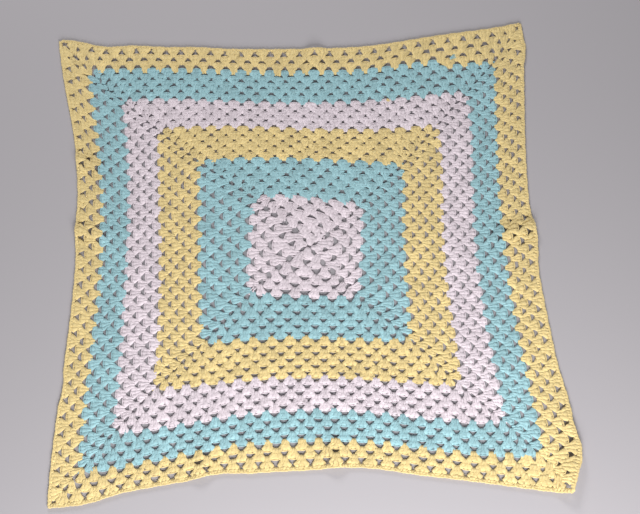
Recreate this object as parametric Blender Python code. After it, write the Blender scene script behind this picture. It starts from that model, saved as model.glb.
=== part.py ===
"""Granny square blanket laid out flat: one open crochet square, worked in rounds from its middle.

Metres, +Z up, with +Y towards the far side. The origin is the middle of the outline's box, on the surface
that the blanket lies on. Ring coordinates (u, v) count rounds from the middle: u to the east, v to the
north, and a point's round is the larger of the two.
"""

import bpy
import numpy as np

MM = 0.001

THICKNESS = 3.5 * MM  # a post's two crossed strands of double knitting yarn
ROUNDS = 30  # rounds of clusters
RIM = ROUNDS + 0.6  # the outline, with the height of the plain edging round

# The gaps between clusters that are cut: every second round, and every second gap along it
GAP_STEP = 4  # rounds from gap to gap, each way
GAP_BASE = 0.76  # a gap's width on its inner side, in rounds
GAP_TIP = 0.26  # its width on its outer side, where two clusters meet
GAP_INNER = 1.06  # its inner side, in rounds inside the tips of its own round
GAP_OUTER = 0.44  # its outer side, the same way
CORNER_GAP = 0.46  # side of the small square gap in each corner

# The yarns, from the middle out. Columns: colour name, last round, linear red, green, blue
BANDS = (
    ("white", 6, 0.76, 0.68, 0.74),
    ("turquoise", 12, 0.22, 0.55, 0.62),
    ("yellow", 18, 0.80, 0.66, 0.22),
    ("white", 23, 0.76, 0.68, 0.74),
    ("turquoise", 27, 0.22, 0.55, 0.62),
    ("yellow", RIM, 0.80, 0.66, 0.22),
)
YARN_ROUGHNESS = 0.92

# Where the corners of some rounds lie at the tips of their clusters, in mm. Columns: round, then x and y
# of the corners north-west, north-east, south-east and south-west
CORNERS = (
    (0.0, 11, 2, 11, 2, 11, 2, 11, 2),
    (1.0, -6, 23, 35, 15, 25, -22, -14, -11),
    (3.0, -40, 48, 64, 40, 56, -50, -46, -37),
    (6.0, -76, 88, 96, 72, 87, -81, -82, -73),
    (12.0, -157, 152, 165, 137, 159, -152, -153, -147),
    (18.0, -221, 210, 224, 204, 227, -224, -224, -214),
    (23.0, -281, 266, 276, 261, 287, -280, -281, -275),
    (27.0, -341, 325, 324, 310, 334, -329, -327, -329),
    (RIM, -387, 383, 378, 388, 370, -383, -367, -375),
)

# How far each side is drawn in from the straight line between its corners, in mm. Columns: round, then
# the draw at the middle, its lean and its shoulders for north, east, south and west
DRAWN_IN = (
    (0.0, 0, 0, 0, 0, 0, 0, 0, 0, 0, 0, 0, 0),
    (6.0, -2, 3, 0, -1, 1, 0, -3, 3, -1, -4, 5, -1),
    (12.0, -7, 3, -2, 3, 2, -7, 6, 5, -6, -1, 8, 0),
    (18.0, 3, 14, -1, 7, 5, -14, 16, 1, -9, 6, -4, 1),
    (23.0, 13, 10, -11, 14, 7, -13, 26, 3, -28, 14, 7, 2),
    (27.0, 10, 6, -17, 19, 0, -10, 33, 8, -32, 25, 10, -17),
    (RIM, 35, 11, 9, 18, -13, -30, 43, 4, -13, 33, 14, -14),
)

# Where the rim waves between its corners. Columns: side, place along it clockwise from -1 to 1, how far it
# is drawn in in mm, and the half width in the same measure as the place
RIM_WAVES = (
    ("north", -0.81, 6, 0.14),
    ("north", -0.41, -2, 0.15),
    ("north", 0.65, -8, 0.40),
    ("east", -0.87, -4, 0.10),
    ("east", 0.0, -6, 0.16),
    ("east", 0.71, -7, 0.24),
    ("east", 0.86, -11, 0.14),
    ("south", -0.20, 5, 0.26),
    ("south", 0.35, 4, 0.14),
    ("south", 0.86, -5, 0.16),
    ("west", -0.55, 3, 0.09),
    ("west", 0.10, -3, 0.16),
    ("west", 0.82, -6, 0.40),
)
SIDES = ("north", "east", "south", "west")
WAVES_FROM = 26  # the round where the waves begin

# Creases left by folding, and the rim that has curled up. Columns: place, then the ring coordinates of
# the outer and the inner end, the height in mm and the half width in rounds
CREASES = (
    ("north", 3.0, RIM, 3.0, 23.0, 4.0, 1.8),
    ("east", RIM, 1.4, 22.0, 1.4, 7.0, 2.0),
    ("south", 3.0, -RIM, 3.0, -24.0, 5.0, 1.8),
    ("south by west", -12.8, -RIM, -12.8, -24.0, 4.0, 1.8),
    ("west", -RIM, 2.8, -23.0, 2.8, 5.0, 1.8),
    ("west by north", -RIM, 12.5, -23.0, 12.5, 5.0, 1.8),
    ("south-east rim", RIM, -RIM, RIM, -17.0, 9.0, 2.6),
)

# Lines of the mesh each way besides those at the gaps: the colour changes that miss a gap, halfway up the
# teeth of the two colours, and the creases
EXTRA_LINES = (-26.75, -22.75, -11.75, 0, 3, 11.75, 22.75, 26.75)


def column(table, ring, n):
    """One column of a table of rounds, read between its rows."""
    rows = np.array(table)
    return np.interp(ring, rows[:, 0], rows[:, n])


def waves(side, ring, along):
    """How far one side's waves draw it in, in mm."""
    depth = np.zeros_like(ring)
    for name, middle, drawn_in, half_width in RIM_WAVES:
        if name == side:
            away = np.clip(np.abs(along - middle) / half_width, 0, 1)
            depth += drawn_in * np.cos(np.pi / 2 * away) ** 2
    return depth * np.clip((ring - WAVES_FROM) / (RIM - WAVES_FROM), 0, 1)


def place(u, v):
    """X and Y in metres of ring coordinates, before the outline is centred."""
    ring = np.maximum(np.abs(u), np.abs(v))
    span = np.maximum(ring, 1e-9)
    north = v >= np.abs(u)
    east = ~north & (u >= np.abs(v))
    south = ~north & ~east & (-v >= np.abs(u))
    side = np.select([north, east, south], [0, 1, 2], 3)
    # From -1 at the side's first corner, clockwise, to 1 at its second
    along = np.select([north, east, south], [u, -v, -u], v) / span
    share = (along + 1) / 2
    x = np.zeros_like(ring)
    y = np.zeros_like(ring)
    for n in range(4):
        first, second = n, (n + 1) % 4
        ax, ay = (column(CORNERS, ring, 1 + 2 * first + k) for k in (0, 1))
        bx, by = (column(CORNERS, ring, 1 + 2 * second + k) for k in (0, 1))
        middle, lean, shoulder = (column(DRAWN_IN, ring, 1 + 3 * n + k) for k in (0, 1, 2))
        draw = 4 * share * (1 - share) * (middle + lean * along + shoulder * along**2)
        draw += waves(SIDES[n], ring, along)
        length = np.maximum(np.hypot(bx - ax, by - ay), 1e-9)
        here = side == n
        x[here] = (ax + (bx - ax) * share + draw * (by - ay) / length)[here]
        y[here] = (ay + (by - ay) * share - draw * (bx - ax) / length)[here]
    return x * MM, y * MM


def lift(u, v):
    """How far the cloth stands off the surface in its creases, in metres."""
    height = np.zeros_like(u)
    for _, u0, v0, u1, v1, top, half_width in CREASES:
        length = np.hypot(u1 - u0, v1 - v0)
        du, dv = (u1 - u0) / length, (v1 - v0) / length
        away = np.abs((u - u0) * dv - (v - v0) * du) / half_width
        inwards = ((u - u0) * du + (v - v0) * dv) / length
        across = np.cos(np.pi / 2 * np.clip(away, 0, 1)) ** 2
        fade = np.cos(np.pi / 2 * np.clip(inwards, 0, 1)) ** 2
        height += top * MM * across * fade
    return height


def grid_lines():
    """The mesh's lines, the same both ways: both sides of every cut gap, the outline and the extra ones."""
    gaps = np.arange(-ROUNDS, ROUNDS + 1, GAP_STEP)
    return np.array(sorted([-RIM, RIM, *EXTRA_LINES, *(gaps - GAP_BASE / 2), *(gaps + GAP_BASE / 2)]))


def lines_outwards():
    """Where the same lines lie outwards from the middle: those at a gap are its inner and outer sides."""
    lines = grid_lines()
    for gap in np.arange(-ROUNDS, ROUNDS + 1, GAP_STEP):
        for side in (-1, 1):
            inset = GAP_OUTER if side * gap > 0 else GAP_INNER
            lines[np.isclose(lines, gap + side * GAP_BASE / 2)] = gap - np.sign(gap) * inset
    return lines


def gap_cells(lines):
    """The middle of the gap that lies between a line and the next one, or None."""
    middles = (lines[:-1] + lines[1:]) / 2
    narrow = np.isclose(np.diff(lines), GAP_BASE)
    return [float(round(m)) if here else None for m, here in zip(middles, narrow)]


def gap_corner(gap_u, gap_v, east, north):
    """Ring coordinates of one corner of a cut gap. East and north are -1 or 1, and say which corner."""
    sign_u, sign_v = np.sign(gap_u), np.sign(gap_v)
    if abs(gap_u) == abs(gap_v):
        inset = (GAP_INNER + GAP_OUTER) / 2
        return (
            gap_u - sign_u * inset + east * CORNER_GAP / 2,
            gap_v - sign_v * inset + north * CORNER_GAP / 2,
        )
    upright = abs(gap_v) > abs(gap_u)
    outer = (north == sign_v) if upright else (east == sign_u)
    inset, width = (GAP_OUTER, GAP_TIP) if outer else (GAP_INNER, GAP_BASE)
    if upright:
        return gap_u + east * width / 2, gap_v - sign_v * inset
    return gap_u - sign_u * inset, gap_v + north * width / 2


def top_cells():
    """The upper side: ring coordinates of its points, its cells without the gaps, and their bands."""
    lines = grid_lines()
    gaps = gap_cells(lines)
    u, v = (a.copy() for a in np.meshgrid(lines, lines, indexing="ij"))
    outer_u, outer_v = np.meshgrid(lines_outwards(), lines_outwards(), indexing="ij")
    reach_u, reach_v = np.abs(u), np.abs(v)
    u[reach_u >= reach_v] = outer_u[reach_u >= reach_v]
    v[reach_v >= reach_u] = outer_v[reach_v >= reach_u]
    cells, bands = [], []
    last_rounds = [row[1] for row in BANDS]
    for i, gap_u in enumerate(gaps):
        for j, gap_v in enumerate(gaps):
            if gap_u is not None and gap_v is not None:
                for a in (0, 1):
                    for b in (0, 1):
                        u[i + a, j + b], v[i + a, j + b] = gap_corner(gap_u, gap_v, 2 * a - 1, 2 * b - 1)
                continue
            corners = ((i, j), (i + 1, j), (i + 1, j + 1), (i, j + 1))
            cells.append([a * len(lines) + b for a, b in corners])
            middle_u, middle_v = ((lines[n] + lines[n + 1]) / 2 for n in (i, j))
            bands.append(int(np.searchsorted(last_rounds, max(abs(middle_u), abs(middle_v)))))
    return u.ravel(), v.ravel(), cells, bands


def sheet_faces(cells, bands, count):
    """Faces and bands of the closed sheet: the cells on top, the same below, and walls where cells end."""
    faces = [list(cell) for cell in cells] + [[n + count for n in reversed(cell)] for cell in cells]
    face_bands = bands + bands
    owner = {}
    for cell, band in zip(cells, bands):
        for a, b in zip(cell, cell[1:] + cell[:1]):
            owner[a, b] = band
    for (a, b), band in owner.items():
        if (b, a) not in owner:
            faces.append([b, a, a + count, b + count])
            face_bands.append(band)
    return faces, face_bands


def yarn_material(name, red, green, blue):
    """A matt yarn in one colour."""
    material = bpy.data.materials.new(f"{name}_yarn")
    material.use_nodes = True
    shader = material.node_tree.nodes["Principled BSDF"]
    shader.inputs["Base Color"].default_value = (red, green, blue, 1)
    shader.inputs["Roughness"].default_value = YARN_ROUGHNESS
    shader.inputs["Metallic"].default_value = 0
    return material


def build_blanket():
    """The whole crocheted piece as one closed sheet."""
    u, v, cells, bands = top_cells()
    x, y = place(u, v)
    x -= (x.min() + x.max()) / 2
    y -= (y.min() + y.max()) / 2
    under = lift(u, v)
    points = np.concatenate([np.stack([x, y, under + THICKNESS], 1), np.stack([x, y, under], 1)])
    faces, face_bands = sheet_faces(cells, bands, len(u))
    mesh = bpy.data.meshes.new("blanket")
    mesh.from_pydata(points.tolist(), [], faces)
    names = []
    for name, _, red, green, blue in BANDS:
        if name not in names:
            names.append(name)
            mesh.materials.append(yarn_material(name, red, green, blue))
    mesh.polygons.foreach_set("material_index", [names.index(BANDS[band][0]) for band in face_bands])
    mesh.update()
    blanket = bpy.data.objects.new("blanket", mesh)
    bpy.context.scene.collection.objects.link(blanket)


def main():
    for thing in list(bpy.data.objects):
        bpy.data.objects.remove(thing)
    build_blanket()


main()
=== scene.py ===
"""Looks of the granny square blanket: its yarn, stitch by stitch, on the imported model's outline and folds.

A stitch has its place on one of the four sides. Along counts rounds clockwise from the side's middle, and
ring counts rounds outwards, with whole numbers at the tips of the clusters. So a cluster is 2 wide and 1
high, round k has k clusters a side, and every cluster stands in the gap of the round inside its own.
Lengths are in metres, and in millimetres where a name ends with _mm.
"""

from __future__ import annotations

import logging
import math
from dataclasses import dataclass, field, replace
from enum import Enum

import bpy
import numpy as np
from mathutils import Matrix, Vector

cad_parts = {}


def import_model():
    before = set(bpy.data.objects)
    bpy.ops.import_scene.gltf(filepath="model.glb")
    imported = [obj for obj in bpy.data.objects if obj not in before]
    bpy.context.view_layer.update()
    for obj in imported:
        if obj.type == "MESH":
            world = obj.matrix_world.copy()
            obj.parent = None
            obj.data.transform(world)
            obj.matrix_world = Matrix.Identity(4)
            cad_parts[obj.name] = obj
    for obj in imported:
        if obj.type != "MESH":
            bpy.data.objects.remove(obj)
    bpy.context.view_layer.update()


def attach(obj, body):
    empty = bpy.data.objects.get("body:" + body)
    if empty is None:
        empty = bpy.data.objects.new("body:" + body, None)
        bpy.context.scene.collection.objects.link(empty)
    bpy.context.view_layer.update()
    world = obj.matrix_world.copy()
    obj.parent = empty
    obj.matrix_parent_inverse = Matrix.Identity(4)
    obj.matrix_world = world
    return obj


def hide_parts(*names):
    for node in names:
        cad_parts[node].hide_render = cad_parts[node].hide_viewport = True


MM = 0.001
TWIST_MAP = "twist"
TONE = "tone"
ROUNDS = 30
RIM = 30.6  # the outline, in the lines of the layout's tables
SEED = 30

log = logging.getLogger("blanket")


class Side(Enum):
    """The four sides of the square, clockwise as seen from above."""

    NORTH = 0
    EAST = 1
    SOUTH = 2
    WEST = 3


class Yarn(Enum):
    """The three yarns, by the names that the record's material slots begin with."""

    WHITE = "white"
    TURQUOISE = "turquoise"
    YELLOW = "yellow"


@dataclass(frozen=True)
class Crease:
    """A fold left in the cloth, which stands highest at its outer end.

    The ends are counted in rounds east and north of the middle, and half_width in rounds.
    """

    outer: tuple[float, float]
    inner: tuple[float, float]
    height_mm: float
    half_width: float

    def height(self, u: np.ndarray, v: np.ndarray) -> np.ndarray:
        """Work out how far the crease lifts the cloth.

        Args:
            u: Places east of the middle, in rounds.
            v: Places north of the middle, in rounds.

        Returns:
            Heights in metres.
        """
        du, dv = self.inner[0] - self.outer[0], self.inner[1] - self.outer[1]
        length = math.hypot(du, dv)
        du, dv = du / length, dv / length
        away = np.abs((u - self.outer[0]) * dv - (v - self.outer[1]) * du) / self.half_width
        inwards = ((u - self.outer[0]) * du + (v - self.outer[1]) * dv) / length
        across = np.cos(np.pi / 2 * np.clip(away, 0, 1)) ** 2
        fade = np.cos(np.pi / 2 * np.clip(inwards, 0, 1)) ** 2
        return self.height_mm * MM * across * fade


@dataclass(frozen=True)
class Pull:
    """A place where the cloth is squeezed or stretched along its rounds.

    The middle is counted in rounds east and north, and the radius in rounds. The fullness is the width of
    the clusters there against the plain one, so under 1 it opens the gaps.
    """

    middle: tuple[float, float]
    radius: float
    fullness: float

    def factor(self, u: np.ndarray, v: np.ndarray) -> np.ndarray:
        """Work out the fullness of clusters at places counted in rounds east and north."""
        away = np.hypot(u - self.middle[0], v - self.middle[1]) / self.radius
        return 1 + (self.fullness - 1) * np.cos(np.pi / 2 * np.clip(away, 0, 1)) ** 2


def turned(side: np.ndarray, along: np.ndarray, ring: np.ndarray) -> tuple[np.ndarray, np.ndarray]:
    """Turn places on the sides into rounds east and north of the middle."""
    side, along, ring = np.broadcast_arrays(side, along, ring)
    return np.choose(side, [along, ring, -along, -ring]), np.choose(side, [ring, -along, -ring, along])


@dataclass(frozen=True)
class Row:
    """One side's part of a round: how many clusters it has, and the lines inside it and of its own tips.

    The lines are those of the row's left end, seen from the middle of the cloth, and right gives those of
    its right end where they differ. Part is the share of the row that is in the band's yarn.
    """

    side: Side
    count: int
    inner: float
    outer: float
    right: tuple[float, float] | None = None
    part: tuple[float, float] = (0.0, 1.0)
    bend_from: float = 0.6  # the share of the row where it starts to go over to its right end's lines

    def lines(self, share: float) -> tuple[float, float]:
        """Work out the inner and the outer line a share of the way along the row."""
        t = min(max((share - self.bend_from) / (1 - self.bend_from), 0.0), 1.0)
        t = t * t * (3 - 2 * t)
        inner, outer = self.right or (self.inner, self.outer)
        return self.inner + (inner - self.inner) * t, self.outer + (outer - self.outer) * t

    def only(self, first: float, last: float) -> Row:
        """Keep a part of the row."""
        return replace(self, part=(first, last))


def rows_at(
    side: Side, first: int, left: tuple[float, ...], right: tuple[float, ...] = ()
) -> tuple[Row, ...]:
    """List one side's rows.

    Args:
        side: The side.
        first: How many clusters the innermost row has.
        left: The line inside the rows and the line of each row's tips, at the left end.
        right: The same at the right end, where they differ.

    Returns:
        The rows, outwards.
    """
    ends = right or left
    return tuple(
        Row(side, first + n, left[n], left[n + 1], (ends[n], ends[n + 1])) for n in range(len(left) - 1)
    )


@dataclass(frozen=True)
class Layout:
    """Where the laid-out cloth lies: the corners and bows of its rounds, the waves of its rim, its creases.

    Columns of corners: round, then x and y in mm north-west, north-east, south-east and south-west.
    Columns of drawn_in: round, then the inward draw in mm at the middle, its lean and its shoulders for
    north, east, south and west. Columns of waves: side, place along it from -1 to 1, inward draw in mm,
    half width.
    """

    corners: tuple[tuple[float, ...], ...] = (
        (0.0, 12, 4, 12, 4, 12, 4, 12, 4),
        (0.25, 8, 13, 20, 8, 16, -5, 3, 0),
        (1.0, -4, 28, 37, 18, 28, -23, -17, -14),
        (3.0, -37, 54, 65, 42, 57, -51, -49, -39),
        (6.0, -73, 89, 97, 73, 86, -82, -82, -72),
        (12.0, -161, 154, 165, 137, 159, -152, -153, -147),
        (18.0, -225, 212, 225, 205, 227, -224, -224, -214),
        (23.0, -285, 267, 278, 263, 287, -280, -281, -275),
        (27.0, -341, 325, 327, 316, 334, -329, -327, -329),
        (RIM, -387, 383, 378, 388, 370, -383, -367, -375),
    )
    drawn_in: tuple[tuple[float, ...], ...] = (
        (0.0, 0, 0, 0, 0, 0, 0, 0, 0, 0, 0, 0, 0),
        (6.0, -4, 6, -1, -2, 1, -1, -3, 2, -1, -5, 1, -8),
        (12.0, -7, 3, -2, 3, 2, -7, 6, 5, -6, -2, 3, -2),
        (18.0, 3, 14, -1, 7, 5, -14, 16, 1, -9, 6, -4, 1),
        (23.0, 13, 10, -11, 14, 7, -13, 26, 3, -28, 14, 7, 2),
        (27.0, 10, 9, -11, 19, 0, -10, 33, 8, -32, 25, 10, -17),
        (RIM, 35, 11, 9, 18, -13, -30, 43, 4, -13, 33, 14, -14),
    )
    waves: tuple[tuple[Side, float, float, float], ...] = (
        (Side.NORTH, -0.81, 6, 0.14),
        (Side.NORTH, -0.41, -2, 0.15),
        (Side.NORTH, 0.65, -8, 0.40),
        (Side.EAST, -0.87, -4, 0.10),
        (Side.EAST, 0.0, -6, 0.16),
        (Side.EAST, 0.71, -7, 0.24),
        (Side.EAST, 0.86, -11, 0.14),
        (Side.SOUTH, -0.20, 5, 0.26),
        (Side.SOUTH, 0.35, 4, 0.14),
        (Side.SOUTH, 0.86, -5, 0.16),
        (Side.WEST, -0.55, 3, 0.09),
        (Side.WEST, 0.10, -3, 0.16),
        (Side.WEST, 0.82, -6, 0.40),
    )
    waves_from: float = 26.0
    creases: tuple[Crease, ...] = (
        Crease((3.0, RIM), (3.0, 23.0), 4.0, 1.8),
        Crease((RIM, 1.4), (22.0, 1.4), 7.0, 2.0),
        Crease((3.0, -RIM), (3.0, -24.0), 5.0, 1.8),
        Crease((-12.8, -RIM), (-12.8, -24.0), 4.0, 1.8),
        Crease((-RIM, 2.8), (-23.0, 2.8), 5.0, 1.8),
        Crease((-RIM, 12.5), (-23.0, 12.5), 5.0, 1.8),
        Crease((RIM, -RIM), (RIM, -17.0), 9.0, 2.6),
    )
    pulls: tuple[Pull, ...] = (
        Pull((28.5, 2.6), 2.6, 1.22),
        Pull((28.0, -2.0), 2.6, 0.72),
        Pull((2.6, 29.0), 2.2, 1.20),
        Pull((27.5, -29.5), 7.0, 1.32),
        Pull((-30.0, 30.0), 2.2, 1.50),
        Pull((30.0, 30.0), 2.2, 1.35),
        Pull((-30.0, -30.0), 2.2, 1.35),
        Pull((3.0, -28.0), 2.5, 1.15),
    )

    def _column(self, table: tuple, ring: np.ndarray, n: int) -> np.ndarray:
        """Read one column of a table of rounds between its rows."""
        rows = np.array(table)
        return np.interp(ring, rows[:, 0], rows[:, n])

    def _wave(self, side: Side, ring: np.ndarray, along: np.ndarray) -> np.ndarray:
        """Work out how far one side's waves draw it in, in mm."""
        groove_shade_colour = np.zeros_like(ring)
        for name, middle, drawn, half_width in self.waves:
            if name is side:
                away = np.clip(np.abs(along - middle) / half_width, 0, 1)
                groove_shade_colour += drawn * np.cos(np.pi / 2 * away) ** 2
        return groove_shade_colour * np.clip((ring - self.waves_from) / (RIM - self.waves_from), 0, 1)

    def _plan(self, u: np.ndarray, v: np.ndarray) -> tuple[np.ndarray, np.ndarray]:
        """Place ring coordinates on the floor, before the outline is centred.

        Args:
            u: Places east of the middle, in rounds.
            v: Places north of the middle, in rounds.

        Returns:
            X and Y in metres.
        """
        ring = np.maximum(np.abs(u), np.abs(v))
        span = np.maximum(ring, 1e-9)
        north = v >= np.abs(u)
        east = ~north & (u >= np.abs(v))
        south = ~north & ~east & (-v >= np.abs(u))
        part = np.select([north, east, south], [0, 1, 2], 3)
        along = np.select([north, east, south], [u, -v, -u], v) / span
        share = (along + 1) / 2
        x, y = np.zeros_like(ring), np.zeros_like(ring)
        for side in Side:
            first, second = side.value, (side.value + 1) % 4
            ax, ay = (self._column(self.corners, ring, 1 + 2 * first + k) for k in (0, 1))
            bx, by = (self._column(self.corners, ring, 1 + 2 * second + k) for k in (0, 1))
            middle, lean, shoulder = (
                self._column(self.drawn_in, ring, 1 + 3 * side.value + k) for k in (0, 1, 2)
            )
            draw = 4 * share * (1 - share) * (middle + lean * along + shoulder * along**2)
            draw += self._wave(side, ring, along)
            length = np.maximum(np.hypot(bx - ax, by - ay), 1e-9)
            here = part == side.value
            x[here] = (ax + (bx - ax) * share + draw * (by - ay) / length)[here]
            y[here] = (ay + (by - ay) * share - draw * (bx - ax) / length)[here]
        return x * MM, y * MM

    def outline(self, ring: float) -> np.ndarray:
        """Trace one line of the tables all round.

        Args:
            ring: The line, in rounds.

        Returns:
            Points in metres, not centred, one row each.
        """
        walk = np.linspace(-ring, ring, 240, endpoint=False)
        full = np.full_like(walk, ring)
        u = np.concatenate([walk, full, -walk, -full])
        v = np.concatenate([full, -walk, -full, walk])
        return np.stack(self._plan(u, v), 1)

    def area(self, inner: float, outer: float) -> float:
        """Measure the flat cloth between two lines of the tables, in square metres."""
        sizes = []
        for ring in (inner, outer):
            x, y = self.outline(ring).T
            sizes.append(abs(np.dot(x, np.roll(y, 1)) - np.dot(y, np.roll(x, 1))) / 2)
        return float(sizes[1] - sizes[0])

    def girth(self, ring: float) -> float:
        """Measure the length of one line of the tables, in metres."""
        points = self.outline(ring)
        return float(np.linalg.norm(points - np.roll(points, 1, 0), axis=1).sum())

    def world(
        self, side: np.ndarray, along: np.ndarray, ring: np.ndarray, height: np.ndarray
    ) -> np.ndarray:
        """Place stitches in the part's frame.

        Args:
            side: Values of Side.
            along: Places along the side, in rounds.
            ring: Places outwards, in rounds, whole at the tips of the clusters.
            height: Heights above the cloth's underside, in metres.

        Returns:
            Points in metres, in one more dimension than the arguments, which are broadcast.
        """
        side, along, ring, height = np.broadcast_arrays(side, along, ring, height)
        u, v = turned(side, along, ring)
        x, y = self._plan(u, v)
        rim = self.outline(RIM)
        middle = (rim.min(0) + rim.max(0)) / 2
        lifted = sum(crease.height(u, v) for crease in self.creases)
        return np.stack([x - middle[0], y - middle[1], height + lifted], -1)


@dataclass
class YarnMesh:
    """Strands of yarn that are joined in one mesh."""

    name: str
    points: list[np.ndarray] = field(default_factory=list)
    corners: list[np.ndarray] = field(default_factory=list)
    sizes: list[np.ndarray] = field(default_factory=list)
    twist: list[np.ndarray] = field(default_factory=list)
    unwrapped: list[tuple[np.ndarray, int, float, float]] = field(default_factory=list)
    tones: list[np.ndarray] = field(default_factory=list)
    count: int = 0

    def add(
        self,
        path: np.ndarray,
        half_width: np.ndarray | float,
        half_height: np.ndarray | float,
        sides: int,
        tone: np.ndarray,
        roundness: float = 1.0,
    ) -> None:
        """Add strands that all have the same number of points, closed at both ends.

        Args:
            path: Middle lines in metres, as strands × points × 3. The first and last points are the tips.
            half_width: Half widths across the lie of the cloth, in metres.
            half_height: Half thicknesses, in metres.
            sides: Number of faces round a strand.
            tone: One shade factor a strand.
            roundness: 1 for an oval cross section, and less for a flatter top.
        """
        strands, stations = path.shape[:2]
        rings = stations - 2
        half_width = np.broadcast_to(half_width, (strands, stations))[:, 1:-1, None, None]
        half_height = np.broadcast_to(half_height, (strands, stations))[:, 1:-1, None, None]
        tangent = np.gradient(path, axis=1)
        across = np.cross(tangent, (0.0, 0.0, 1.0))
        across /= np.maximum(np.linalg.norm(across, axis=2, keepdims=True), 1e-12)
        up = np.cross(across, tangent)
        up /= np.maximum(np.linalg.norm(up, axis=2, keepdims=True), 1e-12)
        turn = 2 * np.pi * np.arange(sides) / sides
        cos, sin = (np.sign(f) * np.abs(f) ** roundness for f in (np.cos(turn), np.sin(turn)))
        cos, sin = cos[None, None, :, None], sin[None, None, :, None]
        hoops = (
            path[:, 1:-1, None]
            + half_width * cos * across[:, 1:-1, None]
            + half_height * sin * up[:, 1:-1, None]
        )
        points = np.concatenate(
            [path[:, :1], hoops.reshape(strands, rings * sides, 3), path[:, -1:]], axis=1
        )
        each = points.shape[1]
        corners, twist_u, twist_s = [], [], []
        for n in range(sides):
            m = (n + 1) % sides
            corners += [0, 1 + n, 1 + m]
            twist_u += [n + 0.5, n, n + 1]
            twist_s += [0, 1, 1]
        sizes = [3] * sides
        for k in range(rings - 1):
            for n in range(sides):
                m = (n + 1) % sides
                low, high = 1 + k * sides, 1 + (k + 1) * sides
                corners += [low + n, high + n, high + m, low + m]
                twist_u += [n, n, n + 1, n + 1]
                twist_s += [k + 1, k + 2, k + 2, k + 1]
                sizes.append(4)
        for n in range(sides):
            m = (n + 1) % sides
            low = 1 + (rings - 1) * sides
            corners += [low + n, each - 1, low + m]
            twist_u += [n, n + 0.5, n + 1]
            twist_s += [rings, rings + 1, rings]
            sizes.append(3)
        steps = np.linalg.norm(np.diff(path, axis=1), axis=2)
        reach = np.concatenate([np.zeros((strands, 1)), np.cumsum(steps, axis=1)], axis=1)
        first = self.count + each * np.arange(strands)[:, None]
        u = np.broadcast_to(np.array(twist_u) / sides, (strands, len(twist_u)))
        s = np.array(twist_s)
        self.points.append(points.reshape(-1, 3))
        self.corners.append((first + np.array(corners)).ravel())
        self.sizes.append(np.tile(sizes, strands))
        self.twist.append(np.stack([u, reach[:, s]], -1).reshape(-1, 2))
        local = np.stack([np.array(twist_u) / sides, s / (stations - 1)], -1)
        width, height = np.mean(half_width), np.mean(half_height)
        around = math.pi * (3 * (width + height) - math.sqrt((3 * width + height) * (width + 3 * height)))
        self.unwrapped.append((local, strands, around, float(reach[:, -1].mean())))
        self.tones.append(np.repeat(tone, each))
        self.count += each * strands

    def _bake_map(self) -> np.ndarray:
        """Lay the unwrapped strands side by side in shelves on a unit square."""
        scale = math.sqrt(0.96 / sum(n * wide * long for _, n, wide, long in self.unwrapped))
        while True:
            shelves, top = [], 0.0
            for _, strands, wide, long in self.unwrapped:
                across = max(1, int(1 / (wide * scale)))
                rows = math.ceil(strands / across)
                shelves.append((top, across, 1 / across, long * scale))
                top += rows * long * scale
            if top <= 1:
                break
            scale *= 0.99
        places = []
        for (local, strands, _, _), (top, across, wide, long) in zip(self.unwrapped, shelves):
            n = np.arange(strands)
            cell = np.stack([n % across * wide, top + n // across * long], -1)
            places.append((cell[:, None] + (0.04 + 0.92 * local)[None] * (wide, long)).reshape(-1, 2))
        return np.concatenate(places)

    def build(self) -> bpy.types.Object:
        """Make the mesh object and put it in the scene.

        Returns:
            The object, with a map of the twist, a map for the bake and one shade factor a point.
        """
        mesh = bpy.data.meshes.new(self.name)
        points = np.concatenate(self.points)
        corners = np.concatenate(self.corners)
        sizes = np.concatenate(self.sizes)
        mesh.vertices.add(len(points))
        mesh.vertices.foreach_set("co", points.ravel())
        mesh.loops.add(len(corners))
        mesh.loops.foreach_set("vertex_index", corners)
        mesh.polygons.add(len(sizes))
        mesh.polygons.foreach_set("loop_start", np.cumsum(sizes) - sizes)
        mesh.polygons.foreach_set("use_smooth", np.ones(len(sizes), bool))
        mesh.update(calc_edges=True)
        mesh.uv_layers.new(name=TWIST_MAP).uv.foreach_set("vector", np.concatenate(self.twist).ravel())
        mesh.uv_layers.new(name="OFBake").uv.foreach_set("vector", self._bake_map().ravel())
        mesh.uv_layers.active = mesh.uv_layers[TWIST_MAP]
        mesh.uv_layers[TWIST_MAP].active_render = True
        tone = mesh.attributes.new(TONE, "FLOAT", "POINT")
        tone.data.foreach_set("value", np.concatenate(self.tones))
        mesh.validate()
        piece = bpy.data.objects.new(self.name, mesh)
        bpy.context.scene.collection.objects.link(piece)
        return piece


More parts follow.
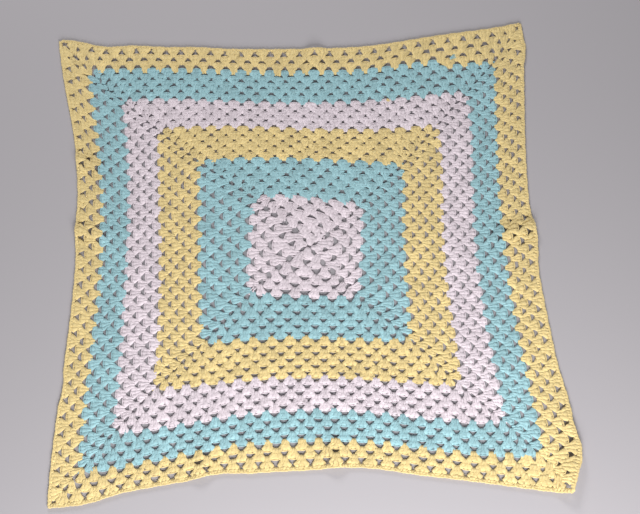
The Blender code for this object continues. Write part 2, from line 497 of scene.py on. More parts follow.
@dataclass(frozen=True)
class ClusterShape:
    """One cluster of three posts, with sizes in rounds unless a name ends with _mm.

    Columns of contour: place from the foot to the top, and half width of the whole cluster there. The
    place of its widest row is moved to each cluster's own belly. Columns of posts: place, half width of a
    post, and the height of its middle line and its half thickness in mm.
    """

    foot: float = 1.52  # how far the foot lies inside the cluster's own tips
    head: float = 0.08  # the top of the posts, under the chain
    contour: tuple[tuple[float, float], ...] = (
        (0.00, 0.36),
        (0.16, 0.54),
        (0.31, 0.50),
        (0.50, 0.56),
        (0.62, 0.72),
        (0.72, 0.97),
        (0.82, 0.90),
        (0.92, 0.70),
        (1.00, 0.50),
    )
    throat: float = 0.31  # where the gap beside it is widest
    belly: float = 0.72  # where the gap beside it ends
    posts: tuple[tuple[float, ...], ...] = (
        (0.00, 0.11, 0.9, 0.5),
        (0.06, 0.16, 2.0, 0.8),
        (0.24, 0.20, 2.0, 0.95),
        (0.42, 0.22, 1.9, 1.0),
        (0.60, 0.29, 1.9, 1.0),
        (0.77, 0.35, 1.9, 1.0),
        (0.93, 0.27, 1.9, 0.9),
        (1.00, 0.18, 1.6, 0.6),
    )
    post_roundness: float = 0.42
    wrap_places: tuple[float, ...] = (0.54,)
    wrap_slope: float = 0.10
    wrap_radius_mm: float = 0.5
    middle_rise_mm: float = 0.10  # how far the middle post stands over the others
    chain_half_width_mm: float = 1.0
    chain_half_height_mm: float = 0.75
    chain_beat: tuple[float, float] = (0.18, 0.12)  # how far its links swell and thin, in width and height
    chain_height_mm: tuple[float, float] = (2.1, 0.9)  # at the cluster's middle, and how far its ends dip
    chain_under: float = 0.05  # how far it lies inside the tips
    chain_sag: float = 0.44
    chain_reach: tuple[float, float, float] = (1.0, 0.70, 0.6)  # plain, corner and innermost clusters
    loop_inset: float = 0.06  # how far the chain round a corner gap lies inside the tips
    loop_run: float = 0.50
    loop_height_mm: float = 2.0
    corner_foot: float = 0.52  # how far a corner cluster's foot is drawn off the diagonal
    corner_head: float = 0.38
    corner_width: float = 0.70
    first_foot: float = 0.95  # the innermost round has its own foot, parting and girth of posts
    first_parting: tuple[float, float] = (0.15, 0.6)
    first_girth: tuple[float, float] = (0.55, 0.45)
    plain_round_mm: float = 12.0  # the height of the round that the sizes in mm are for

    def half_width(self, place: np.ndarray, belly: np.ndarray) -> np.ndarray:
        """Work out the half width of clusters.

        Args:
            place: Places from the foot to the top.
            belly: Where each cluster is widest.

        Returns:
            Half widths in rounds.
        """
        end = self.contour[-2][0]
        moved = np.where(
            place < belly,
            self.throat + (place - self.throat) * (self.belly - self.throat) / (belly - self.throat),
            self.belly + (place - belly) * (end - self.belly) / (end - belly),
        )
        moved = np.where((place < self.throat) | (place > end), place, moved)
        rows = np.array(self.contour)
        return np.interp(moved, rows[:, 0], rows[:, 1])

    def post(self, place: np.ndarray, n: int) -> np.ndarray:
        """Read one column of the posts between its rows."""
        rows = np.array(self.posts)
        return np.interp(place, rows[:, 0], rows[:, n])


@dataclass(frozen=True)
class HandWork:
    """How uneven the stitches are: one standard deviation each, in shares of a cluster or in mm."""

    width: float = 0.06
    belly: float = 0.04
    belly_limits: tuple[float, float] = (0.48, 0.84)
    shift: float = 0.06
    lean: float = 0.08
    dip: float = 0.05
    skew: float = 0.08
    tone: float = 0.03
    tone_limit: float = 0.08
    post_width: float = 0.05
    post_rise_mm: float = 0.10
    post_tone: float = 0.05
    post_sway: float = 0.025
    post_lump_mm: float = 0.10
    wrap_place: float = 0.03
    wrap_tone: float = 0.06


@dataclass
class Clusters:
    """A band's clusters, one row each in every column, with the unevenness of hand work."""

    side: np.ndarray
    count: np.ndarray
    top: np.ndarray
    height: np.ndarray
    middle: np.ndarray
    corner: np.ndarray
    width: np.ndarray
    belly: np.ndarray
    shift: np.ndarray
    lean: np.ndarray
    dip: np.ndarray
    skew: np.ndarray
    tone: np.ndarray
    shape: ClusterShape

    def spread(self, place: np.ndarray) -> np.ndarray:
        """Work out the rounds that half a cluster takes along its side.

        Args:
            place: Places from the inner row's tips at 0 to its own at 1.

        Returns:
            Half widths in rounds.
        """
        own = self.top / self.count
        inner = np.where(self.count > 1, (self.top - self.height) / np.maximum(self.count - 1, 1), own)
        return inner + (own - inner) * np.clip(place, 0, 1)

    def spot(self, place: np.ndarray) -> tuple[np.ndarray, np.ndarray]:
        """Follow the clusters' middle lines.

        Args:
            place: Places from the foot to the top.

        Returns:
            Along and ring at those places.
        """
        shape = self.shape
        foot = np.where(self.count == 1, shape.first_foot, shape.foot)
        draw = self.corner * (shape.corner_foot + (shape.corner_head - shape.corner_foot) * place)
        along = self.middle - draw + self.shift * (1 - place) + self.lean * (place - 0.5)
        inwards = foot - (foot - shape.head) * place - self.dip * (1 - place)
        return along * self.spread(place), self.top - self.height * inwards

    def post_line(self, post: int, place: np.ndarray) -> tuple[np.ndarray, np.ndarray]:
        """Follow the middle lines of one post of every cluster.

        Args:
            post: -1, 0 or 1 for the left, middle or right post.
            place: Places from the foot to the top.

        Returns:
            Along and ring at those places.
        """
        along, ring = self.spot(place)
        half = self.shape.half_width(place, self.belly)
        least, more = self.shape.first_parting
        opened = np.where(self.count == 1, least + more * place, 1.0)
        off = post * (half - self.shape.post(place, 1)) * self.width * opened * self.spread(place)
        return along + off, ring + self.skew * off


@dataclass(frozen=True)
class WovenEnd:
    """A yarn's end that was woven in on the front and shows as a small lump.

    The middle is counted in rounds east and north, the length in rounds, and the turn from east to north.
    """

    middle: tuple[float, float]
    length: float
    turn: float
    spacing: float = 0.14
    radius_mm: float = 0.85
    bend: float = 0.07
    height_mm: tuple[float, float] = (3.1, 1.0)  # at its middle, and how far its tips dip

    def lines(self, s: np.ndarray, bend: np.ndarray) -> tuple[np.ndarray, np.ndarray]:
        """Lay three lengths of the yarn side by side.

        Args:
            s: Places along the end, from -0.5 to 0.5.
            bend: How far each length bends aside, in rounds, as lengths × places.

        Returns:
            Places east and north of the middle, in rounds.
        """
        cos, sin = math.cos(math.radians(self.turn)), math.sin(math.radians(self.turn))
        aside = self.spacing * np.array([[-1.0], [0.0], [1.0]]) + bend
        reach = self.length * s
        return self.middle[0] + reach * cos - aside * sin, self.middle[1] + reach * sin + aside * cos


@dataclass
class Band:
    """A band of rounds in one yarn.

    Fullness is the width of the clusters against the plain one, and belly where they are widest, which
    sets how far the gaps reach outwards, for north, east, south and west. Skew is how far a cluster's right
    side stands out of its left. Rows take the place of a side's plain ones.
    """

    name: str
    yarn: Yarn
    first: int
    last: int
    belly: tuple[float, float, float, float]
    fullness: tuple[float, float, float, float] = (0.97, 0.98, 0.98, 0.98)
    skew: tuple[float, float, float, float] = (0.0, 0.0, 0.0, 0.0)
    rows: tuple[Row, ...] = ()
    ends: tuple[WovenEnd, ...] = ()
    unevenness: float = 1.0
    shape: ClusterShape = ClusterShape()
    hand: HandWork = HandWork()

    def all_rows(self) -> list[Row]:
        """List the rows of all four sides."""
        rows = []
        for side in Side:
            plain = [Row(side, k, k - 1.0, float(k)) for k in range(self.first, self.last + 1)]
            rows += [row for row in self.rows if row.side is side] or plain
        return rows

    def _clusters(self, layout: Layout, rng: np.random.Generator) -> Clusters:
        """List the band's clusters with their unevenness.

        Args:
            layout: The laid-out cloth.
            rng: Seeded random numbers for the unevenness of hand work.

        Returns:
            The clusters.
        """
        hand = self.hand
        places = []
        for row in self.all_rows():
            for middle in range(1 - row.count, row.count, 2):
                share = (middle / row.count + 1) / 2
                inner, outer = row.lines(share)
                if row.part[0] <= share < row.part[1]:
                    places.append((row.side.value, row.count, outer, outer - inner, middle))
        side, count, top, height, middle = (np.array(column)[:, None] for column in zip(*places))
        corner = np.where((np.abs(middle) == count - 1) & (count > 1), np.sign(middle), 0)

        def uneven(size: float) -> np.ndarray:
            """Draw one random number a cluster."""
            return size * self.unevenness * rng.standard_normal(count.shape)

        width = np.array(self.fullness)[side] * np.where(corner != 0, self.shape.corner_width, 1.0)
        for pull in layout.pulls:
            width = width * pull.factor(*turned(side, middle * top / count, top - 0.5))
        return Clusters(
            side=side,
            count=count,
            top=top,
            height=height,
            middle=middle.astype(float),
            corner=corner,
            width=width * (1 + uneven(hand.width)),
            belly=np.clip(np.array(self.belly)[side] + uneven(hand.belly), *hand.belly_limits),
            shift=uneven(hand.shift),
            lean=uneven(hand.lean),
            dip=uneven(hand.dip),
            skew=np.array(self.skew)[side] + uneven(hand.skew),
            tone=1 + np.clip(uneven(hand.tone), -hand.tone_limit, hand.tone_limit)[:, 0],
            shape=self.shape,
        )

    def build(self, layout: Layout, rng: np.random.Generator) -> bpy.types.Object:
        """Make every cluster of the band.

        Args:
            layout: The laid-out cloth.
            rng: Seeded random numbers for the unevenness of hand work.

        Returns:
            The band as one mesh object.
        """
        made = self._clusters(layout, rng)
        mesh = YarnMesh(self.name)
        pitch, height = self._measure(layout, made)
        for post in (-1, 0, 1):
            self._add_posts(mesh, layout, made, post, pitch, rng)
        self._add_chains(mesh, layout, made, height / (self.shape.plain_round_mm * MM))
        self._add_corner_loops(mesh, layout)
        self._add_ends(mesh, layout, rng)
        return mesh.build()

    def _measure(self, layout: Layout, made: Clusters) -> tuple[np.ndarray, np.ndarray]:
        """Measure the cloth under each cluster.

        Args:
            layout: The laid-out cloth.
            made: The clusters.

        Returns:
            How long half a cluster is along its side and how high its round is, in metres.
        """
        level = np.zeros((1, 1))
        share = 0.9  # of the side, so that the corners are left out
        ends = layout.world(made.side, np.array([-share, share])[None] * made.top, made.top - 0.5, level)
        lines = made.top - made.height * np.array([1.0, 0.0])[None]
        rise = layout.world(made.side, made.middle * made.spread(1.0) * share, lines, level)
        pitch = np.linalg.norm(ends[:, 1:] - ends[:, :1], axis=2) / (2 * share * made.count)
        return pitch, np.linalg.norm(rise[:, 1:] - rise[:, :1], axis=2)

    def _add_posts(
        self,
        mesh: YarnMesh,
        layout: Layout,
        made: Clusters,
        post: int,
        pitch: np.ndarray,
        rng: np.random.Generator,
    ) -> None:
        """Add one post of every cluster, with the yarn wrapped over its front.

        Args:
            mesh: The band's strands so far.
            layout: The laid-out cloth.
            made: The clusters.
            post: -1, 0 or 1 for the left, middle or right post.
            pitch: The length that half a cluster takes along each cluster's side, in metres.
            rng: Seeded random numbers.
        """
        shape, hand = self.shape, self.hand
        total = len(made.top)
        fat = made.width * (1 + hand.post_width * self.unevenness * rng.standard_normal((total, 1)))
        rise = hand.post_rise_mm * MM * rng.standard_normal((total, 1))
        rise += shape.middle_rise_mm * MM if post == 0 else 0
        tone = made.tone * (1 + hand.post_tone * np.clip(rng.standard_normal(total), -2, 2))
        stations = np.array([row[0] for row in shape.posts])[None]
        lumps = np.clip(rng.standard_normal((2, total, stations.size)), -2, 2)
        along, ring = made.post_line(post, stations)
        height = (shape.post(stations, 2) + hand.post_lump_mm * lumps[0]) * MM + rise
        least, more = shape.first_girth
        mesh.add(
            layout.world(made.side, along + hand.post_sway * lumps[1], ring, height),
            shape.post(stations, 1) * fat * pitch * np.where(made.count == 1, least + more * stations, 1.0),
            shape.post(stations, 3) * MM,
            6,
            tone,
            shape.post_roundness,
        )
        sweep = np.array([-0.9, -0.55, 0.0, 0.55, 0.9])[None]
        crest = np.array([0.1, 0.7, 0.9, 0.7, 0.1])[None]
        for place in shape.wrap_places:
            here = place + shape.wrap_slope * sweep + hand.wrap_place * rng.standard_normal((total, 1))
            along, ring = made.post_line(post, here)
            along = along + sweep * shape.post(here, 1) * fat * made.spread(here)
            height = (shape.post(here, 2) + crest * shape.post(here, 3)) * MM + rise
            radius = shape.wrap_radius_mm * MM
            shade = tone * (1 + hand.wrap_tone * np.clip(rng.standard_normal(total), -2, 2))
            mesh.add(layout.world(made.side, along, ring, height), radius, radius, 4, shade)

    def _add_chains(self, mesh: YarnMesh, layout: Layout, made: Clusters, size: np.ndarray) -> None:
        """Add the chain along the tops of the clusters and over to their neighbours.

        Args:
            mesh: The band's strands so far.
            layout: The laid-out cloth.
            made: The clusters.
            size: The height of the round against the plain one.
        """
        shape = self.shape
        s = np.linspace(-1, 1, 7)[None]
        beat = np.array([1, -1] * 3 + [1])[None]
        along, _ = made.spot(np.ones((1, 1)))
        plain, corner, innermost = shape.chain_reach
        reach = np.where(made.count == 1, innermost, np.where(made.corner != 0, corner, plain))
        drop = shape.chain_under + shape.chain_sag * np.abs(s) ** 3 - made.skew * s / 2
        ring = made.top - made.height * drop
        height = (shape.chain_height_mm[0] - shape.chain_height_mm[1] * s**2) * MM
        mesh.add(
            layout.world(made.side, along + s * reach * made.spread(1.0), ring, height),
            shape.chain_half_width_mm * MM * np.sqrt(size) * (1 - shape.chain_beat[0] * beat),
            shape.chain_half_height_mm * MM * (1 - shape.chain_beat[1] * beat) * np.ones_like(size),
            5,
            made.tone,
        )

    def _add_corner_loops(self, mesh: YarnMesh, layout: Layout) -> None:
        """Add the chain loops round the corner gaps.

        Args:
            mesh: The band's strands so far.
            layout: The laid-out cloth.
        """
        shape = self.shape
        rows = [row for row in self.all_rows() if row.part[1] == 1]
        tips = np.array([row.lines(1.0)[1] for row in rows])[:, None]
        side = np.array([row.side.value for row in rows])[:, None]
        t = np.linspace(-1, 1, 9)[None]
        beat = np.array([1, -1] * 4 + [1])[None]
        edge = tips - shape.loop_inset * (1 + np.abs(t))
        along = edge - shape.loop_run * np.clip(-t, 0, 1) ** 1.5
        ring = edge - shape.loop_run * np.clip(t, 0, 1) ** 1.5
        path = layout.world(side, along, ring, np.full((1, 1), shape.loop_height_mm * MM))
        width = shape.chain_half_width_mm * MM * (1 - shape.chain_beat[0] * beat)
        mesh.add(path, width, shape.chain_half_height_mm * MM, 5, np.ones(len(tips)))

    def _add_ends(self, mesh: YarnMesh, layout: Layout, rng: np.random.Generator) -> None:
        """Add the yarn's ends that were woven in on the front.

        Args:
            mesh: The band's strands so far.
            layout: The laid-out cloth.
            rng: Seeded random numbers.
        """
        s = np.linspace(-0.5, 0.5, 8)[None]
        for end in self.ends:
            bend = end.bend * np.sin(2 * np.pi * s + rng.uniform(0, 6, (3, 1)))
            u, v = end.lines(s, bend)
            height = (end.height_mm[0] - 4 * end.height_mm[1] * s**2) * MM
            path = layout.world(np.full((1, 1), Side.NORTH.value), u, v, height)
            mesh.add(path, end.radius_mm * MM, end.radius_mm * MM, 5, rng.uniform(0.97, 1.06, 3))


@dataclass
class Edging:
    """The plain round of short stitches along the rim, and the chain on its edge.

    Columns of posts: place from the foot to the top, and the height of the post's middle line in mm.
    """

    name: str = "edging"
    yarn: Yarn = Yarn.YELLOW
    spacing: float = 0.34
    top: float = 30.49
    corner_clear: tuple[float, float] = (0.15, 0.10)  # at a side's left and right end
    foot_inside: tuple[float, float] = (0.22, 0.34)  # under a cluster's tip, and how much more between two
    posts: tuple[tuple[float, float], ...] = ((0.0, 0.9), (0.08, 1.5), (0.5, 2.1), (0.92, 2.0), (1.0, 1.6))
    post_past_top: float = 0.07
    post_lean: float = 0.1
    post_half_width_mm: float = 2.5
    post_half_height_mm: float = 1.1
    post_roundness: float = 0.5
    chain_radius_mm: float = 1.15
    chain_height_mm: float = 2.2
    chain_beat: float = 0.14
    chain_apart: tuple[float, float] = (0.05, 0.01)  # between its two strands' middles, and its beat
    chain_past_top: float = 0.02
    scallop: float = 0.03
    counts: tuple[int, int, int, int] = (31, 31, 30, 30)  # clusters in each side's outermost row
    lines: tuple[float, float, float, float] = (30.5, 30.4, 30.3, 30.45)  # and the line of their tips

    def build(self, layout: Layout, rng: np.random.Generator) -> bpy.types.Object:
        """Make the short posts and the chain of all four sides.

        Args:
            layout: The laid-out cloth.
            rng: Seeded random numbers for the unevenness of hand work.

        Returns:
            The edging as one mesh object.
        """
        mesh = YarnMesh(self.name)
        left, right = self.corner_clear
        places = np.arange(-self.top + left, self.top - right, self.spacing)
        side = np.repeat([s.value for s in Side], len(places))[:, None]
        along = np.tile(places, 4)[:, None]
        along = along + 0.03 * rng.standard_normal(along.shape)
        last = np.array(self.counts)[side]
        valley = np.abs((along * last / ROUNDS + last + 1) % 2 - 1) ** 2.2
        foot = np.array(self.lines)[side] - self.foot_inside[0] - self.foot_inside[1] * valley
        t, height = np.array(self.posts).T[:, None]
        ring = foot + (self.top + self.post_past_top - foot) * t
        tone = np.clip(1 + 0.03 * rng.standard_normal(len(along)), 0.9, 1.1)
        width = self.post_half_width_mm * MM * (1 + 0.06 * rng.standard_normal(along.shape))
        mesh.add(
            layout.world(side, along + (t - 0.5) * self.post_lean, ring, height * MM),
            np.broadcast_to(width, ring.shape),
            self.post_half_height_mm * MM,
            6,
            tone,
            self.post_roundness,
        )
        steps = 8 * ROUNDS + 1
        run = np.linspace(-self.top, self.top, steps)[None]
        beat = np.array([1 if n % 2 else -1 for n in range(steps)])[None]
        sides = np.array([s.value for s in Side])[:, None]
        last = np.array(self.counts)[:, None]
        swell = self.scallop * np.cos(np.pi * (run * last / ROUNDS + last + 1))
        apart, more = self.chain_apart
        for strand in (-1, 1):
            ring = self.top + self.chain_past_top + strand * (apart + more * beat) + swell
            limit = np.minimum(np.abs(run), ring)
            height = np.full((1, 1), self.chain_height_mm * MM)
            path = layout.world(sides, np.sign(run) * limit, ring, height)
            radius = np.broadcast_to(self.chain_radius_mm * MM * (1 + self.chain_beat * beat), (4, steps))
            mesh.add(path, radius, radius, 5, np.ones(4))
        return mesh.build()


def group(name: str, inputs: dict[str, float], outputs: dict[str, str]) -> bpy.types.NodeTree:
    """Make an empty shader node group.

    Args:
        name: Its name.
        inputs: Names and first values of its number inputs.
        outputs: Names and socket types of its outputs.

    Returns:
        The group's tree, with its input and output nodes.
    """
    tree = bpy.data.node_groups.new(name, "ShaderNodeTree")
    for label, value in inputs.items():
        socket = tree.interface.new_socket(label, in_out="INPUT", socket_type="NodeSocketFloat")
        socket.default_value = value
    for label, kind in outputs.items():
        tree.interface.new_socket(label, in_out="OUTPUT", socket_type=kind)
    tree.nodes.new("NodeGroupInput")
    tree.nodes.new("NodeGroupOutput")
    return tree


def maths(tree: bpy.types.NodeTree, operation: str, *values: object) -> bpy.types.NodeSocket:
    """Add a Math node.

    Args:
        tree: The tree it goes into.
        operation: Blender's name for the operation.
        values: Numbers or sockets for its inputs, in order.

    Returns:
        Its output socket.
    """
    node = tree.nodes.new("ShaderNodeMath")
    node.operation = operation
    for socket, value in zip(node.inputs, values):
        if isinstance(value, bpy.types.NodeSocket):
            tree.links.new(value, socket)
        else:
            socket.default_value = value
    return node.outputs[0]


def ply_twist_group() -> bpy.types.NodeTree:
    """Build the group for the plies that wind round a strand.

    Returns:
        A tree whose Height is 1 on a ply and 0 in the groove between two, and whose Groove is the reverse,
        the mask for the shade painted into the grooves.
    """
    tree = group(
        "ply twist",
        {"Plies": 4.0, "Turns per Metre": 110.0},
        {"Height": "NodeSocketFloat", "Groove": "NodeSocketFloat"},
    )
    given, result = tree.nodes["Group Input"], tree.nodes["Group Output"]
    places = tree.nodes.new("ShaderNodeUVMap")
    places.uv_map = TWIST_MAP
    split = tree.nodes.new("ShaderNodeSeparateXYZ")
    tree.links.new(places.outputs["UV"], split.inputs[0])
    around = maths(tree, "MULTIPLY", split.outputs["X"], given.outputs["Plies"])
    along = maths(tree, "MULTIPLY", split.outputs["Y"], given.outputs["Turns per Metre"])
    wound = maths(tree, "FRACT", maths(tree, "ADD", around, along))
    off = maths(tree, "ABSOLUTE", maths(tree, "SUBTRACT", wound, 0.5))
    groove = maths(tree, "POWER", maths(tree, "MULTIPLY", off, 2.0), 2.5)
    tree.links.new(maths(tree, "SUBTRACT", 1.0, groove), result.inputs["Height"])
    tree.links.new(groove, result.inputs["Groove"])
    return tree


def fuzz_group() -> bpy.types.NodeTree:
    """Build the group for loose fibres and for the yarn's uneven shade.

    Returns:
        A tree whose Fibre is fine and rough, whose Fleck is a few mm wide, whose Shade is broad, and whose
        Tone is one value a stitch.
    """
    tree = group(
        "yarn fuzz",
        {"Fibre Scale": 1400.0, "Fleck Scale": 260.0, "Shade Scale": 18.0},
        {label: "NodeSocketFloat" for label in ("Fibre", "Fleck", "Shade", "Tone")},
    )
    given, result = tree.nodes["Group Input"], tree.nodes["Group Output"]
    place = tree.nodes.new("ShaderNodeTexCoord")
    for scale, detail, output in (
        ("Fibre Scale", 4.0, "Fibre"),
        ("Fleck Scale", 2.0, "Fleck"),
        ("Shade Scale", 3.0, "Shade"),
    ):
        noise = tree.nodes.new("ShaderNodeTexNoise")
        noise.inputs["Detail"].default_value = detail
        noise.inputs["Roughness"].default_value = 0.6
        tree.links.new(place.outputs["Object"], noise.inputs["Vector"])
        tree.links.new(given.outputs[scale], noise.inputs["Scale"])
        tree.links.new(noise.outputs["Fac"], result.inputs[output])
    tone = tree.nodes.new("ShaderNodeAttribute")
    tone.attribute_name = TONE
    tree.links.new(tone.outputs["Fac"], result.inputs["Tone"])
    return tree


@dataclass(frozen=True)
class YarnFinish:
    """The finish of one yarn: a soft acrylic in one colour, brushed slightly by use, with shade painted
    darker into the grooves between its plies.
    """

    yarn: Yarn
    colour: tuple[float, float, float]
    # the darker colour painted into the grooves between the plies as their shade
    groove_shade_colour: tuple[float, float, float]
    plies: float = 4.0
    turns: float = 120.0
    groove_shade: float = 0.45
    shade_range: float = 0.16
    fleck_range: float = 0.5
    roughness: float = 0.85
    roughness_range: float = 0.12
    fibre_height: float = 0.5
    bump_strength: float = 0.6
    bump_mm: float = 0.35
    specular: float = 0.25
    sheen: float = 0.35
    sheen_roughness: float = 0.45

    def material(self, twist: bpy.types.NodeTree, fuzz: bpy.types.NodeTree) -> bpy.types.Material:
        """Build the material.

        Args:
            twist: The group for the plies.
            fuzz: The group for fibres and shade.

        Returns:
            The material.
        """
        material = bpy.data.materials.new(f"{self.yarn.value} yarn")
        material.use_nodes = True
        tree = material.node_tree
        shader = tree.nodes["Principled BSDF"]
        plies, fibres = tree.nodes.new("ShaderNodeGroup"), tree.nodes.new("ShaderNodeGroup")
        plies.node_tree, fibres.node_tree = twist, fuzz
        plies.inputs["Plies"].default_value = self.plies
        plies.inputs["Turns per Metre"].default_value = self.turns
        # painted shade: the yarn's colour is mixed towards a darker one in the grooves between its plies
        groove_shade_mix = tree.nodes.new("ShaderNodeMix")
        groove_shade_mix.data_type = "RGBA"
        groove_shade_mix.inputs["A"].default_value = (*self.colour, 1)
        groove_shade_mix.inputs["B"].default_value = (*self.groove_shade_colour, 1)
        groove = maths(tree, "MULTIPLY", plies.outputs["Groove"], self.groove_shade)
        tree.links.new(groove, groove_shade_mix.inputs["Factor"])

        def about(label: str, middle: float, spread: float) -> bpy.types.NodeSocket:
            """Bring one of the fuzz group's values to a range about a middle."""
            return maths(tree, "MULTIPLY_ADD", fibres.outputs[label], spread, middle - spread / 2)

        shade = maths(
            tree, "MULTIPLY", about("Shade", 1.0, self.shade_range), about("Fleck", 1.0, self.fleck_range)
        )
        value = maths(tree, "MULTIPLY", shade, fibres.outputs["Tone"])
        tint = tree.nodes.new("ShaderNodeVectorMath")
        tint.operation = "SCALE"
        tree.links.new(groove_shade_mix.outputs["Result"], tint.inputs[0])
        tree.links.new(value, tint.inputs["Scale"])
        tree.links.new(tint.outputs[0], shader.inputs["Base Color"])
        tree.links.new(about("Fibre", self.roughness, self.roughness_range), shader.inputs["Roughness"])
        fibre = fibres.outputs["Fibre"]
        height = maths(tree, "MULTIPLY_ADD", fibre, self.fibre_height, plies.outputs["Height"])
        bump = tree.nodes.new("ShaderNodeBump")
        bump.inputs["Strength"].default_value = self.bump_strength
        bump.inputs["Distance"].default_value = self.bump_mm * MM
        tree.links.new(height, bump.inputs["Height"])
        tree.links.new(bump.outputs["Normal"], shader.inputs["Normal"])
        shader.inputs["Metallic"].default_value = 0.0
        shader.inputs["Specular IOR Level"].default_value = self.specular
        shader.inputs["Sheen Weight"].default_value = self.sheen
        shader.inputs["Sheen Roughness"].default_value = self.sheen_roughness
        return material


@dataclass
class Studio:
    """The pale floor, the soft lights and the camera."""

    floor_size: float = 7.0
    floor_colour: tuple[float, float, float] = (0.47, 0.45, 0.475)
    target: tuple[float, float, float] = (0.0284, -0.0173, 0.0)
    distance: float = 1.5279
    azimuth: float = 2.116
    elevation: float = 70.0
    focal_px: float = 1000.0
    width_px: float = 640.0
    sensor_mm: float = 36.0
    light_size: float = 0.8
    light_tint: tuple[float, float, float] = (1.0, 0.99, 0.98)
    key: tuple[float, float, float] = (-0.5, 2.3, 1.25)
    key_watts: float = 41.0
    fill: tuple[float, float, float] = (0.15, -1.35, 0.72)
    fill_watts: float = 30.5
    surroundings: tuple[float, float, float] = (0.93, 0.94, 0.97)
    surroundings_strength: float = 0.15

    def floor(self) -> None:
        """Lay a plain floor under the blanket."""
        half = self.floor_size / 2
        mesh = bpy.data.meshes.new("floor")
        corners = [(-half, -half, 0), (half, -half, 0), (half, half, 0), (-half, half, 0)]
        mesh.from_pydata(corners, [], [(0, 1, 2, 3)])
        material = bpy.data.materials.new("floor")
        material.use_nodes = True
        shader = material.node_tree.nodes["Principled BSDF"]
        shader.inputs["Base Color"].default_value = (*self.floor_colour, 1)
        shader.inputs["Roughness"].default_value = 0.9
        shader.inputs["Specular IOR Level"].default_value = 0.1
        mesh.materials.append(material)
        floor = bpy.data.objects.new("floor", mesh)
        floor.location.z = -0.2 * MM
        bpy.context.scene.collection.objects.link(floor)

    def _area_light(self, name: str, place: tuple[float, float, float], watts: float) -> None:
        """Hang one square soft light that faces the blanket.

        Args:
            name: Its name.
            place: Where it hangs, in metres.
            watts: Its power.
        """
        data = bpy.data.lights.new(name, "AREA")
        data.size, data.energy, data.color = self.light_size, watts, self.light_tint
        light = bpy.data.objects.new(name, data)
        light.location = place
        light.rotation_euler = (-Vector(place)).to_track_quat("-Z", "Y").to_euler()
        bpy.context.scene.collection.objects.link(light)

    def lights(self) -> None:
        """Hang the key and fill lights and set the soft surroundings."""
        self._area_light("key", self.key, self.key_watts)
        self._area_light("fill", self.fill, self.fill_watts)
        world = bpy.data.worlds.new("studio")
        world.use_nodes = True
        background = world.node_tree.nodes["Background"]
        background.inputs["Color"].default_value = (*self.surroundings, 1)
        background.inputs["Strength"].default_value = self.surroundings_strength
        bpy.context.scene.world = world
        bpy.context.scene.view_settings.view_transform = "Standard"

    def camera(self) -> None:
        """Set up the camera at the photograph's angle and distance."""
        azimuth, elevation = math.radians(self.azimuth), math.radians(self.elevation)
        forward = Vector(
            (
                math.sin(azimuth) * math.cos(elevation),
                math.cos(azimuth) * math.cos(elevation),
                -math.sin(elevation),
            )
        )
        data = bpy.data.cameras.new("camera")
        data.sensor_width = self.sensor_mm
        data.lens = self.focal_px / self.width_px * self.sensor_mm
        camera = bpy.data.objects.new("camera", data)
        camera.location = Vector(self.target) - forward * self.distance
        camera.rotation_euler = forward.to_track_quat("-Z", "Y").to_euler()
        bpy.context.scene.collection.objects.link(camera)
        bpy.context.scene.camera = camera


# each finish gives the yarn's own colour, then the darker colour painted into its ply grooves as their shade
FINISHES = (
    YarnFinish(Yarn.WHITE, (0.79, 0.70, 0.755), (0.66, 0.56, 0.62)),
    YarnFinish(Yarn.TURQUOISE, (0.36, 0.59, 0.64), (0.24, 0.47, 0.53)),
    YarnFinish(Yarn.YELLOW, (0.83, 0.66, 0.315), (0.70, 0.50, 0.18)),
)

NORTH_ROWS = rows_at(
    Side.NORTH,
    24,
    (23.0, 23.8, 24.6, 25.4, 26.2, 27.0, 28.17, 29.33, 30.5),
    (23.0, 24.0, 25.0, 26.0, 27.0, 27.87, 28.75, 29.62, 30.5),
)
YARN_CHANGE = 0.87  # where the fifth of them goes over from turquoise to yellow

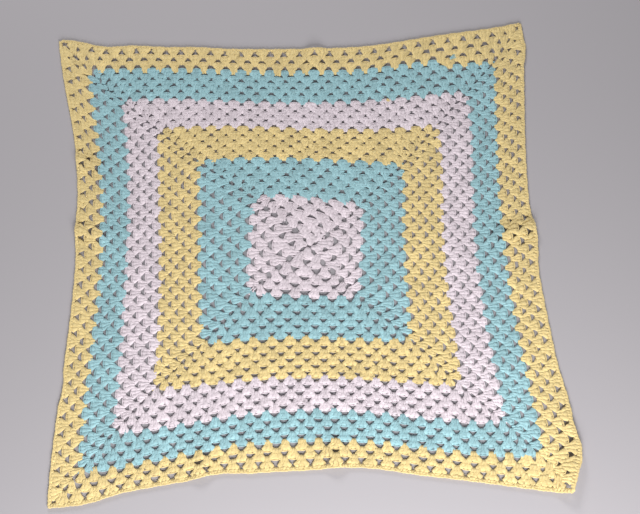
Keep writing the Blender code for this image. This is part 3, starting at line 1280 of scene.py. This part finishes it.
BANDS = (
    Band(
        "centre",
        Yarn.WHITE,
        1,
        6,
        fullness=(0.95, 0.92, 0.90, 0.92),
        belly=(0.66, 0.72, 0.75, 0.72),
        skew=(-0.25, 0.0, 0.0, 0.0),
        ends=(WovenEnd((-4.9, 5.5), 1.3, 8.0), WovenEnd((-5.3, -5.2), 1.1, 60.0)),
        unevenness=1.1,
    ),
    Band("inner_turquoise", Yarn.TURQUOISE, 7, 12, belly=(0.61, 0.71, 0.72, 0.71)),
    Band(
        "inner_yellow",
        Yarn.YELLOW,
        13,
        18,
        belly=(0.60, 0.70, 0.71, 0.71),
        ends=(WovenEnd((12.3, 22.7), 0.5, 30.0),),
    ),
    Band("outer_white", Yarn.WHITE, 19, 23, belly=(0.60, 0.71, 0.71, 0.71)),
    Band(
        "outer_turquoise",
        Yarn.TURQUOISE,
        24,
        27,
        fullness=(0.97, 0.98, 0.96, 0.98),
        belly=(0.65, 0.71, 0.76, 0.71),
        rows=(*NORTH_ROWS[:4], NORTH_ROWS[4].only(0.0, YARN_CHANGE)),
        ends=(WovenEnd((21.4, 27.7), 1.0, 20.0),),
    ),
    Band(
        "outer_yellow",
        Yarn.YELLOW,
        28,
        30,
        fullness=(0.97, 0.98, 0.96, 0.98),
        belly=(0.73, 0.73, 0.79, 0.73),
        rows=(
            NORTH_ROWS[4].only(YARN_CHANGE, 1.0),
            *NORTH_ROWS[5:],
            *rows_at(Side.EAST, 28, (27.0, 27.85, 28.7, 29.55, 30.4)),
            *rows_at(Side.SOUTH, 28, (27.0, 28.1, 29.2, 30.3)),
            *rows_at(Side.WEST, 28, (27.0, 28.15, 29.3, 30.45)),
        ),
    ),
)


def join_frame(piece: bpy.types.Object, yarn: Yarn) -> None:
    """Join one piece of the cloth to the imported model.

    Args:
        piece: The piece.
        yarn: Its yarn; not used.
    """
    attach(piece, "root")
    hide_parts("blanket")


def declare(piece: bpy.types.Object, band: Band, layout: Layout) -> None:
    """Measure a band's flat area, from its clusters' feet to their tips, and its length all round.

    Args:
        piece: The band's mesh; not used.
        band: The band.
        layout: The laid-out cloth.
    """
    inner, outer = max(0.0, band.first - band.shape.foot), max(row.outer for row in band.all_rows())
    area = layout.area(inner, outer)
    length = layout.girth((inner + outer) / 2)


def main() -> None:
    """Build the blanket's bands and edging, dress them, and set up the studio."""
    logging.basicConfig(level=logging.INFO, format="%(message)s")
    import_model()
    layout = Layout()
    rng = np.random.default_rng(SEED)
    twist, fuzz = ply_twist_group(), fuzz_group()
    materials = {finish.yarn: finish.material(twist, fuzz) for finish in FINISHES}
    made = {part.name: (part, part.build(layout, rng)) for part in (*BANDS, Edging())}
    total = 0
    for part, piece in made.values():
        piece.data.materials.append(materials[part.yarn])
        join_frame(piece, part.yarn)
        triangles = sum(len(face.vertices) - 2 for face in piece.data.polygons)
        total += triangles
        log.info("%s: %d triangles, %d in all", piece.name, triangles, total)
    for band in BANDS:
        declare(made[band.name][1], band, layout)
    studio = Studio()
    studio.floor()
    studio.lights()
    studio.camera()


if __name__ == "__main__":
    main()
